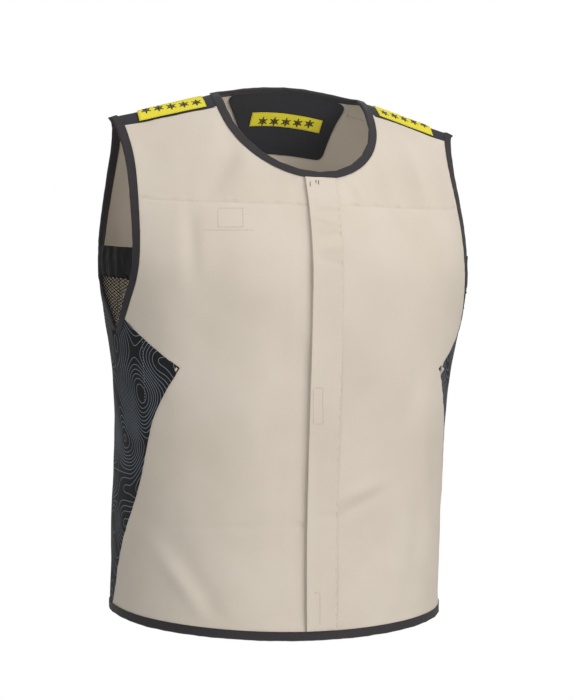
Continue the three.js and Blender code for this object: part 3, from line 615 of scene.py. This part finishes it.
def contour_lines(tree, vector, base):
    """Thin lines of even breadth round the hills and hollows of an even relief map"""
    def relief(aside, above):
        place = tree.nodes.new("ShaderNodeMapping")
        shift = (CONTOUR_PLACE[0] + aside, CONTOUR_PLACE[1] + above, 0)
        place.inputs["Location"].default_value = shift
        place.inputs["Scale"].default_value = CONTOUR_STRETCH
        tree.links.new(vector, place.inputs[0])
        hills = tree.nodes.new("ShaderNodeTexNoise")
        hills.inputs["Scale"].default_value = CONTOUR_SPREAD
        hills.inputs["Detail"].default_value = 0.0
        tree.links.new(place.outputs[0], hills.inputs["Vector"])
        return math_node(tree, "MULTIPLY", hills.outputs["Fac"], CONTOUR_STEPS)

    here = relief(0, 0)
    slopes = []
    for aside, above in ((CONTOUR_PROBE, 0), (0, CONTOUR_PROBE)):
        rise = math_node(tree, "SUBTRACT", relief(aside, above), here)
        slopes.append(math_node(tree, "DIVIDE", rise, CONTOUR_PROBE))
    square = math_node(tree, "MULTIPLY", slopes[0], slopes[0])
    steepness = math_node(tree, "SQRT", math_node(tree, "MULTIPLY_ADD", slopes[1], slopes[1], square))
    wave = math_node(tree, "PINGPONG", here, 0.5)
    distance = math_node(tree, "DIVIDE", wave, math_node(tree, "MAXIMUM", steepness, 1.0))
    line = stretched(tree, distance, CONTOUR_WIDTH * 0.6, CONTOUR_WIDTH, 1.0, 0.0)
    return mixed(tree, line, base, CONTOUR_COLOUR)


FLAKE_PITCH = 14.6 * MM
FLAKE_RADIUS = 6.2 * MM
FLAKE_ARM = 0.85 * MM
FLAKE_COLOUR = colour(46, 42, 24)
ARMS = 3  # lines that cross at each middle
FLAKES = 5


def flakes(tree, vector, base):
    """A plain row of six-armed snowflakes, the common sign for cold"""
    split = tree.nodes.new("ShaderNodeSeparateXYZ")
    tree.links.new(vector, split.inputs[0])
    cell = math_node(tree, "DIVIDE", split.outputs["X"], FLAKE_PITCH)
    inside = math_node(tree, "SUBTRACT", cell, math_node(tree, "ROUND", cell))
    across = math_node(tree, "MULTIPLY", inside, FLAKE_PITCH)
    up = split.outputs["Y"]
    lines = []
    for arm in range(ARMS):
        turn = math.pi * (arm + 0.5) / ARMS
        part = math_node(tree, "MULTIPLY", across, math.sin(turn))
        off = math_node(tree, "MULTIPLY_ADD", up, -math.cos(turn), part)
        lines.append(math_node(tree, "ABSOLUTE", off))
    nearest = lines[0]
    for line in lines[1:]:
        nearest = math_node(tree, "MINIMUM", nearest, line)
    square = math_node(tree, "MULTIPLY_ADD", up, up, math_node(tree, "MULTIPLY", across, across))
    away = math_node(tree, "SQRT", square)
    arms = math_node(tree, "LESS_THAN", nearest, FLAKE_ARM)
    reach = math_node(tree, "LESS_THAN", away, FLAKE_RADIUS)
    ring = math_node(tree, "ABSOLUTE", math_node(tree, "SUBTRACT", away, FLAKE_RADIUS / 2))
    collar = math_node(tree, "LESS_THAN", ring, FLAKE_ARM * 0.7)
    row = math_node(tree, "LESS_THAN", math_node(tree, "ABSOLUTE", cell), FLAKES / 2)
    mask = math_node(tree, "MULTIPLY", math_node(tree, "MAXIMUM", arms, collar), reach)
    mask = math_node(tree, "MULTIPLY", mask, row)
    return mixed(tree, mask, base, FLAKE_COLOUR)


BEIGE = cloth(
    "Beige shell cloth", colour(216, 206, 193), colour(207, 196, 181),
    threads=1500, depth=0.1, roughness=0.9, sheen=0.1,
)
BLACK = cloth(
    "Black printed side cloth", colour(20, 21, 24), colour(15, 16, 18),
    threads=1300, depth=0.12, roughness=0.72, sheen=0.05, print_on=contour_lines,
)
DARK = cloth(
    "Dark strip cloth", colour(50, 50, 55), colour(40, 41, 46),
    threads=1100, depth=0.12, roughness=0.78, sheen=0.1,
)
TAPE_CLOTH = cloth(
    "Binding tape", colour(54, 50, 53), colour(44, 41, 44),
    threads=1400, depth=0.12, roughness=0.7, sheen=0.1,
)
# The elastic is black, and its colour is made darker still as painted shade for the armhole it sits in
SHADE_DARKENED_BAND = cloth(
    "Black elastic darkened as painted shade", colour(7, 7, 9), colour(4, 4, 5), threads=700, depth=0.3, roughness=0.6, sheen=0.0
)
NET_THREAD = cloth(
    "Net thread", colour(26, 25, 27), colour(18, 18, 20),
    threads=2500, depth=0.05, roughness=0.6, sheen=0.0,
)
YELLOW = cloth(
    "Yellow woven label", colour(234, 222, 58), colour(226, 212, 50),
    threads=2200, depth=0.08, roughness=0.6, sheen=0.05, print_on=flakes,
)


def thread(name, light, dark):
    return cloth(name, light, dark, threads=4000, depth=0.03, roughness=0.7, sheen=0.1)


BEIGE_THREAD = thread("Beige thread", colour(204, 192, 176), colour(190, 178, 160))
SHADED_THREAD = thread("Shaded thread", colour(168, 155, 138), colour(152, 139, 122))
DARK_THREAD = thread("Dark thread", colour(46, 44, 48), colour(34, 33, 36))
GREY_THREAD = thread("Grey thread", colour(140, 146, 152), colour(120, 126, 132))


# Stitches

def model_stitch():
    """One stitch: a thread that dips into the cloth at both ends, one long and one thick"""
    bpy.ops.object.select_all(action="DESELECT")
    bpy.ops.mesh.primitive_uv_sphere_add(
        segments=5, ring_count=3, radius=0.5, rotation=(0, math.pi / 2, 0)
    )
    ball = bpy.context.object
    bpy.ops.object.transform_apply(location=False, rotation=True, scale=False)
    places = points_of(ball)
    faces = [tuple(face.vertices) for face in ball.data.polygons]
    bpy.data.objects.remove(ball)
    return places, faces


STITCH_PLACES, STITCH_FACES = model_stitch()
STITCH_RISE = 0.05  # how far a stitch's middle stands over the cloth, as a share of its width
SHORTEST = 0.3  # a stitch across a gap in its run comes out shorter than this share and is left out


def split_run(path, keep):
    """The stretches of a path whose places are kept"""
    runs = [[]]
    for step in path:
        if keep(step[0]):
            runs[-1].append(step)
        elif runs[-1]:
            runs.append([])
    return [run for run in runs if len(run) > 1]


def stitch_runs(name, runs, finish, slot, pitch, length, width):
    """Copies the stitch at even steps along runs of (place, normal)"""
    places, faces = [], []
    for run in runs:
        spots = np.array([step[0] for step in run])
        normals = np.array([step[1] for step in run])
        walked = np.concatenate([[0], np.cumsum(np.linalg.norm(np.diff(spots, axis=0), axis=1))])
        count = int(walked[-1] / (pitch * MM))
        for k in range(count):
            at = (k + 0.5) * pitch * MM
            ends = [at - length * MM / 2, at + length * MM / 2]
            near, far = (
                np.array([np.interp(end, walked, spots[:, axis]) for axis in range(3)]) for end in ends
            )
            normal = np.array([np.interp(at, walked, normals[:, axis]) for axis in range(3)])
            along = far - near
            if np.linalg.norm(along) < SHORTEST * length * MM:
                continue
            normal /= np.linalg.norm(normal)
            across = np.cross(normal, along)
            across *= width * MM / np.linalg.norm(across)
            middle = (near + far) / 2 + normal * STITCH_RISE * width * MM
            axes = np.stack([along, across, normal * width * MM])
            start = len(places)
            places.extend(middle + STITCH_PLACES @ axes)
            faces.extend(tuple(start + corner for corner in face) for face in STITCH_FACES)
    mesh = bpy.data.meshes.new(name)
    mesh.from_pydata(places, [], faces)
    piece = linked(name, mesh)
    mesh.materials.append(finish)
    bpy.ops.object.select_all(action="DESELECT")
    bpy.context.view_layer.objects.active = piece
    piece.select_set(True)
    bpy.ops.object.shade_smooth()
    piece.select_set(False)
    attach(piece, BODY)
    return piece


def beside_rim(piece, inward, keep, stitched):
    """Adds the runs along a sheet's outline, moved in by some millimetres, to those stitched"""
    for ring in rims_of(piece):
        path = [(place + way * inward * MM, normal) for place, normal, way in ring + ring[:1]]
        stitched.extend(split_run(path, keep))


CLEAR_OF_VEST = 300  # how far from the middle a run is drawn before it is laid on
RUN_STEP = 1.5


def laid_on(piece, corners, out=(0, -1, 0)):
    """A run of stitches drawn from corner to corner and laid on a finished piece, which faces
    the way `out`"""
    tree = BVHTree.FromObject(piece, bpy.context.evaluated_depsgraph_get())
    ray = Vector(out)
    run = []
    for first, second in zip(corners, corners[1:]):
        first, second = (Vector(corner) * MM for corner in (first, second))
        count = max(1, round((second - first).length / (RUN_STEP * MM)))
        for k in range(count + 1):
            start = first.lerp(second, k / count) + ray * CLEAR_OF_VEST * MM
            place, normal, _, _ = tree.ray_cast(start, -ray)
            if place is not None:
                run.append((place, normal))
    return run


beige_runs, dark_runs, light_runs, marked_runs = [], [], [], []
BESIDE_EDGE = 1.8  # from a seam to the first row of stitches
SECOND_ROW = 4.0


# Panels

LEVELS = 3
HEM = 3.0  # width of the ring of narrow faces along an outline
TAPES = {
    name: packed(name)
    for name in ("armhole_binding_right", "armhole_binding_left", "neck_binding", "hem_binding")
}
FOLD_DEPTH = 1.3  # the folds of the tables swell this much more
BESIDE_TAPE = 2.0
BESIDE_CLOTH = 1.0
BESIDE_SEAM = 1.2
PANEL_PUCKER = 0.5


def shell_lift(places, folds):
    """The folds of a table over broad and small uneven swells"""
    swells = rumple(places, size=75, depth=2.0, seed=3), rumple(places, size=26, depth=0.5, seed=5)
    return FOLD_DEPTH * fold_lift(places, folds) + swells[0] + swells[1]


def everywhere(place):
    return True


STRIPS = ["shoulder_strip_right", "shoulder_strip_left"]


def panel(node, finish, thickness=SHELL, upright=UP,
          over=(), folds=(), topstitch=(), lining=None, hem=HEM):
    """A panel whose bound edges run in between the halves of the tapes, and whose other
    edges meet their neighbours or run in under those that lie over it. A panel with an
    inward corner has no hem ring, because the ring folds over there"""
    tapes = list(TAPES.values())
    covers = [packed(name) for name in over]
    piece = wall_face(node)
    run_on(
        piece,
        [(tree, BESIDE_TAPE, UNDER_TAPE) for tree in tapes]
        + [(tree, BESIDE_CLOTH, UNDER_CLOTH) for tree in covers],
    )
    unwrap(piece, upright)
    if hem:
        add_hem(piece, hem)
    fine(piece, LEVELS)
    folded = shell_lift(points_of(piece), folds)
    push(piece, seam_lift(piece, folded, PANEL_PUCKER, tapes, covers))
    for neighbour, inward, stitched in topstitch:
        tree = packed(neighbour)
        reach = inward + BESIDE_SEAM
        beside_rim(piece, inward, lambda place: near_to(tree, place, reach), stitched)
    thick(piece, thickness, finish, lining)
    return declare(piece, node)


panels = {}
for side, _ in SIDES:
    lower, upper, flank, strip = (
        f"front_{side}_lower", f"front_{side}_upper", f"side_panel_{side}", f"shoulder_strip_{side}"
    )
    panels[lower] = panel(
        lower, BEIGE, over=[upper], folds=FRONT_FOLDS,
        topstitch=[(flank, BESIDE_EDGE, beige_runs)], hem=None,
    )
    panels[upper] = panel(
        upper, BEIGE, over=[strip], folds=FRONT_FOLDS,
        topstitch=[(lower, BESIDE_EDGE, beige_runs), (lower, SECOND_ROW, beige_runs)],
    )
    panels[flank] = panel(flank, BLACK, over=[lower, "back_panel"])
panels["back_panel"] = panel(
    "back_panel", BEIGE, over=STRIPS, folds=BACK_FOLDS,
    topstitch=[(f"side_panel_{side}", BESIDE_EDGE, beige_runs) for side, _ in SIDES],
    hem=None,
)
for side, _ in SIDES:
    strip = f"shoulder_strip_{side}"
    panels[strip] = panel(
        strip, DARK,
        STRIP, ACROSS_BACK,
        topstitch=[(f"front_{side}_upper", 1.6, dark_runs), ("back_panel", 1.6, dark_runs)],
        lining=BEIGE,
    )


# Tapes folded over the edges

FOLD_BEVEL = 0.7 * MM
FOLD_TURN = math.radians(30)
EDGE_TO_STITCH = 1.5  # from the edge of a tape or a small piece to its stitches
CUT_TURN = math.radians(75)  # both long edges of a tape's cut side turn more than this


def tape(node):
    """A tape folded over an edge, open towards the panel"""
    piece = merged_copy(node, node + "_tape")
    make_quads()
    shape = bmesh.from_edit_mesh(piece.data)
    for face in shape.faces:
        edges = sorted(face.edges, key=lambda edge: edge.calc_face_angle(0))[-2:]
        face.select_set(all(edge.calc_face_angle(0) > CUT_TURN for edge in edges))
    bmesh.update_edit_mesh(piece.data)
    bpy.ops.mesh.delete(type="FACE")
    bpy.ops.mesh.select_all(action="DESELECT")
    bpy.ops.mesh.edges_select_sharp(sharpness=FOLD_TURN)
    bpy.ops.mesh.bevel(offset=FOLD_BEVEL, segments=2, affect="EDGES")
    leave(piece)
    unwrap(piece, UP)
    fine(piece, 2, corners=False)
    places = points_of(piece)
    fine_swells = rumple(places, size=9, depth=0.35, seed=7)
    push(piece, fine_swells + rumple(places, size=28, depth=0.3, seed=8))
    beside_rim(piece, EDGE_TO_STITCH, everywhere, dark_runs)
    thick(piece, TAPE, TAPE_CLOTH)
    return declare(piece, node)


for node in ("neck_binding", "hem_binding"):
    tape(node)
for side, _ in SIDES:
    tape(f"armhole_binding_{side}")


# Placket, facing, labels and band

EDGE_ROUND = 0.3  # rounding of a cut edge, as a share of its thickness
UNDER_BAND = 3.0  # how near the placket and the bands end to a tape, and how far they run on
FACING_NEAR = 6.0
FACING_UNDER = 5.0
FACING_CLEAR = 0.6  # between the back and what lies on it
LABEL_CLEAR = 1.1
LABEL_PUCKER = 0.1
LABEL_MARGIN = 1.0  # from its edge to its stitches


def sewn_on(node, cut, finish, thickness, folded, side=1, levels=3,
            upright=UP, pucker=0.3, reaches=(), stitched=None,
            inward=EDGE_TO_STITCH, keep=everywhere, corners=True):
    """A smaller piece sewn to one that lies behind it"""
    piece = wall_face(node, side)
    run_on(piece, reaches)
    unwrap(piece, upright)
    add_hem(piece, min(HEM, CUTS[cut]["flat"][1] / MM / 8))
    fine(piece, levels, corners)
    push(piece, folded(points_of(piece)))
    push(piece, seam_lift(piece, np.zeros(len(piece.data.vertices)), pucker, [], []))
    if stitched is not None:
        beside_rim(piece, inward, keep, stitched)
    thick(piece, thickness, finish)
    add(
        piece, "Edge", "BEVEL", width=EDGE_ROUND * thickness * MM, segments=2,
        limit_method="ANGLE", angle_limit=math.radians(60),
    )
    return declare(piece, node)


def on_back(places, clear):
    """Follows the inner side of the back, whose folds die out at the neck tape"""
    tape_near = TAPES["neck_binding"].find_nearest
    away = np.array([tape_near(Vector(place))[3] for place in places]) / MM
    return clear - shell_lift(places, BACK_FOLDS) * (1 - np.exp(-((away / BOUND_FADE) ** 2)))


def placket_folds(places):
    return fold_lift(places, PLACKET_FOLDS) + rumple(places, size=40, depth=0.6, seed=4)


def label_swells(places):
    return rumple(places, size=20, depth=0.3, seed=2)


def gathers(places):
    """Upright gathers of elastic, fine ones over broad ones"""
    fine_ones = rumple(places, size=7, depth=1.7, seed=5, stretch=(1, 1, 0.35))
    return fine_ones + rumple(places, size=15, depth=1.6, seed=6, stretch=(1, 1, 0.7))


def on_sewn_side(place):
    return place.x > 0


placket = sewn_on(
    "placket", "placket", BEIGE,
    PLACKET, placket_folds, levels=4, reaches=[(TAPES["neck_binding"], UNDER_BAND, UNDER_BAND)],
    stitched=marked_runs, keep=on_sewn_side,
)
facing = sewn_on(
    "back_neck_facing", "back_neck_facing", DARK,
    FACING, lambda places: on_back(places, FACING_CLEAR), side=-1,
    reaches=[(TAPES["neck_binding"], FACING_NEAR, FACING_UNDER)], stitched=dark_runs, corners=False,
)
sewn_on(
    "label_collar", "collar_label", YELLOW, LABEL,
    lambda places: on_back(places, LABEL_CLEAR), side=-1, pucker=LABEL_PUCKER,
    stitched=dark_runs, inward=LABEL_MARGIN,
)
for side, _ in SIDES:
    sewn_on(
        f"label_shoulder_{side}", "shoulder_label", YELLOW,
        LABEL, label_swells, upright=(0, 1, 1), pucker=LABEL_PUCKER, stitched=dark_runs,
        inward=LABEL_MARGIN,
    )
    sewn_on(
        f"underarm_band_{side}", "underarm_band", SHADE_DARKENED_BAND,
        BAND, gathers,
        reaches=[(TAPES[f"armhole_binding_{side}"], UNDER_BAND, UNDER_BAND)],
    )


# Nets

NET_BREADTH = 9.5 * MM  # of one diamond, from front to back
NET_HEIGHT = 3.8 * MM
NET_CORD = 1.4 * MM
NET_ROW = 6 * MM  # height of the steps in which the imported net's breadth is read
NET_UNDER = 3.5 * MM  # the net runs on under the tape


def net(side):
    """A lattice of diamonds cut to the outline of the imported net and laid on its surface"""
    node = f"underarm_mesh_{side}"
    surface = packed(node)
    low, high = (Vector(corner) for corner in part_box(node))
    reach = {}
    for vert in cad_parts[node].data.vertices:
        row = round((vert.co.z - low.z) / NET_ROW)
        near, far = reach.get(row, (vert.co.y, vert.co.y))
        reach[row] = (min(near, vert.co.y), max(far, vert.co.y))
    rows = sorted(reach)
    heights = [low.z + row * NET_ROW for row in rows]
    half, half_up = NET_BREADTH / 2, NET_HEIGHT / 2
    shape = bmesh.new()
    grid = {}
    for row in range(-2, round((high.z - low.z) / half_up) + 3):
        for column in range(-2, round((high.y - low.y) / half) + 3):
            y, z = low.y + column * half, low.z + row * half_up
            near = np.interp(z, heights, [reach[row_of][0] for row_of in rows]) - NET_UNDER
            far = np.interp(z, heights, [reach[row_of][1] for row_of in rows]) + NET_UNDER
            if (row + column) % 2 == 0 and near <= y <= far:
                found = surface.find_nearest(Vector(((low.x + high.x) / 2, y, z)))[0]
                grid[row, column] = shape.verts.new((found.x, y, z))
    for row, column in grid:
        diamond = [(row, column), (row + 1, column + 1), (row + 2, column), (row + 1, column - 1)]
        if all(key in grid for key in diamond):
            shape.faces.new([grid[key] for key in diamond])
    bmesh.ops.delete(shape, geom=[v for v in shape.verts if not v.link_faces], context="VERTS")
    bmesh.ops.recalc_face_normals(shape, faces=shape.faces)
    mesh = bpy.data.meshes.new(node + "_net")
    shape.to_mesh(mesh)
    shape.free()
    piece = linked(node + "_net", mesh)
    unwrap(piece, UP)
    add(piece, "Cords", "WIREFRAME", thickness=NET_CORD, use_even_offset=False, use_boundary=True)
    piece.data.materials.append(NET_THREAD)
    return declare(piece, node)


for side, _ in SIDES:
    net(side)


# Stitching on finished pieces

# Corners of each run in millimetres, seen from the front (x, z) or from the side (y, z)
PLACKET_MARKS = [
    [(-15.8, -327), (-4, -327), (-2.6, -367), (-14.4, -367), (-15.8, -327)],
    [(-9.8, -554), (-2.7, -554.5), (-2.8, -590)],
]
NECK_TACKS = [
    [(-13.7, -100), (-14.6, -106)],
    [(-6.4, -98), (-6.8, -102)],
    [(-3.4, -98), (-3.9, -103)],
]
CHEST_MARKS = [
    [(-117.4, -133), (-91.2, -132), (-93.7, -152.6), (-119.9, -153.5), (-117.4, -133)],
    [(-133.5, -157.3), (-81, -155.4)],
]
SIDE_LINE = [(-64.5, -275), (-63, -350)]


def on_front(run):
    return [(x, -CLEAR_OF_VEST, z) for x, z in run]


def on_side(run, sign):
    return [(sign * CLEAR_OF_VEST, y, z) for y, z in run]


for run in PLACKET_MARKS:
    marked_runs.append(laid_on(placket, on_front(run)))
for run in CHEST_MARKS:
    marked_runs.append(laid_on(panels["front_right_lower"], on_front(run)))
tack_runs = [laid_on(placket, on_front(run)) for run in NECK_TACKS]
for side, sign in SIDES:
    run = on_side(SIDE_LINE, sign)
    light_runs.append(laid_on(panels[f"side_panel_{side}"], run, (sign, 0, 0)))

# Pitch, length and width of the stitches, in millimetres
SEAM_STITCH = {"pitch": 3.0, "length": 2.2, "width": 0.42}
MARK_STITCH = {"pitch": 3.0, "length": 2.3, "width": 0.55}
TACK_STITCH = {"pitch": 0.7, "length": 0.68, "width": 1.1}
SIDE_STITCH = {"pitch": 3.4, "length": 2.0, "width": 0.8}
stitch_runs("beige_stitching", beige_runs, BEIGE_THREAD, "beige_cloth", **SEAM_STITCH)
stitch_runs("marked_stitching", marked_runs, SHADED_THREAD, "beige_cloth", **MARK_STITCH)
stitch_runs("dark_stitching", dark_runs, DARK_THREAD, "binding_tape", **SEAM_STITCH)
stitch_runs("neck_tacks", tack_runs, DARK_THREAD, "binding_tape", **TACK_STITCH)
stitch_runs("side_stitching", light_runs, GREY_THREAD, "side_cloth", **SIDE_STITCH)


# Camera, floor and light

TARGET = Vector((0, 0, -0.3))
DISTANCE = 2.2
TURN = math.radians(20.93)
RAISE = math.radians(4.41)
ROLL = math.radians(1.99)
LENS = 96.5
SHIFT = (0.0049, 0.0046)


def place_camera():
    back = Vector(
        (-math.sin(TURN) * math.cos(RAISE), -math.cos(TURN) * math.cos(RAISE), math.sin(RAISE))
    )
    level = Vector((math.cos(TURN), -math.sin(TURN), 0))
    upright = level.cross(-back)
    right = level * math.cos(ROLL) + upright * math.sin(ROLL)
    up = upright * math.cos(ROLL) - level * math.sin(ROLL)
    camera = bpy.data.objects.new("Camera", bpy.data.cameras.new("Camera"))
    turn = Matrix((right, up, back)).transposed().to_4x4()
    camera.matrix_world = Matrix.Translation(TARGET + back * DISTANCE) @ turn
    camera.data.lens = LENS
    camera.data.shift_x, camera.data.shift_y = SHIFT
    bpy.context.collection.objects.link(camera)
    bpy.context.scene.camera = camera


FLOOR_HEIGHT = -0.9
FLOOR_SIZE = 9.0
FLOOR_FADE = (0.1, 0.5)  # the floor fades out between these distances from its middle


def lay_floor():
    bpy.ops.object.select_all(action="DESELECT")
    bpy.ops.mesh.primitive_plane_add(size=FLOOR_SIZE, location=(0, 0, FLOOR_HEIGHT))
    floor = bpy.context.object
    floor.name = "Floor"
    material, tree, surface = nodes_of("Pale floor")
    surface.inputs["Base Color"].default_value = colour(250, 250, 250)
    surface.inputs["Roughness"].default_value = 0.9
    place = tree.nodes.new("ShaderNodeTexCoord").outputs["Object"]
    away = tree.nodes.new("ShaderNodeVectorMath")
    away.operation = "LENGTH"
    tree.links.new(place, away.inputs[0])
    clear = tree.nodes.new("ShaderNodeBsdfTransparent")
    blend = tree.nodes.new("ShaderNodeMixShader")
    fade = stretched(tree, away.outputs["Value"], *FLOOR_FADE, 0.0, 1.0)
    tree.links.new(fade, blend.inputs[0])
    tree.links.new(surface.outputs[0], blend.inputs[1])
    tree.links.new(clear.outputs[0], blend.inputs[2])
    tree.links.new(blend.outputs[0], tree.nodes["Material Output"].inputs["Surface"])
    floor.data.materials.append(material)


def area_light(name, place, size, power, tint=(1, 1, 1)):
    lamp = bpy.data.lights.new(name, "AREA")
    lamp.size = size
    lamp.energy = power
    lamp.color = tint
    light = bpy.data.objects.new(name, lamp)
    light.location = place
    light.rotation_euler = (TARGET - Vector(place)).to_track_quat("-Z", "Y").to_euler()
    light.visible_camera = False
    bpy.context.collection.objects.link(light)


WORLD_LIGHT = 0.42
LIGHTS = [
    {"name": "Key", "place": (1.2, -2.3, 0.6), "size": 1.5, "power": 44, "tint": (1, 0.985, 0.965)},
    {"name": "Fill", "place": (-1.7, -2.1, 0.5), "size": 1.8, "power": 17},
    {"name": "Top", "place": (-0.2, -0.2, 2.2), "size": 1.2, "power": 14},
    {"name": "Back", "place": (0.9, 2.4, 0.5), "size": 1.8, "power": 22},
    {"name": "Inside", "place": (0.0, 0.0, -0.85), "size": 0.3, "power": 0.8},
]


def light_scene():
    world = bpy.data.worlds.new("Studio")
    world.use_nodes = True
    bpy.context.scene.world = world
    tree = world.node_tree
    glow = tree.nodes["Background"]
    glow.inputs["Color"].default_value = (1, 1, 1, 1)
    seen = tree.nodes.new("ShaderNodeLightPath").outputs["Is Camera Ray"]
    strength = math_node(tree, "MULTIPLY_ADD", seen, 1 - WORLD_LIGHT, WORLD_LIGHT)
    tree.links.new(strength, glow.inputs["Strength"])
    for light in LIGHTS:
        area_light(**light)
    bpy.context.scene.view_settings.view_transform = "Standard"


place_camera()
lay_floor()
light_scene()
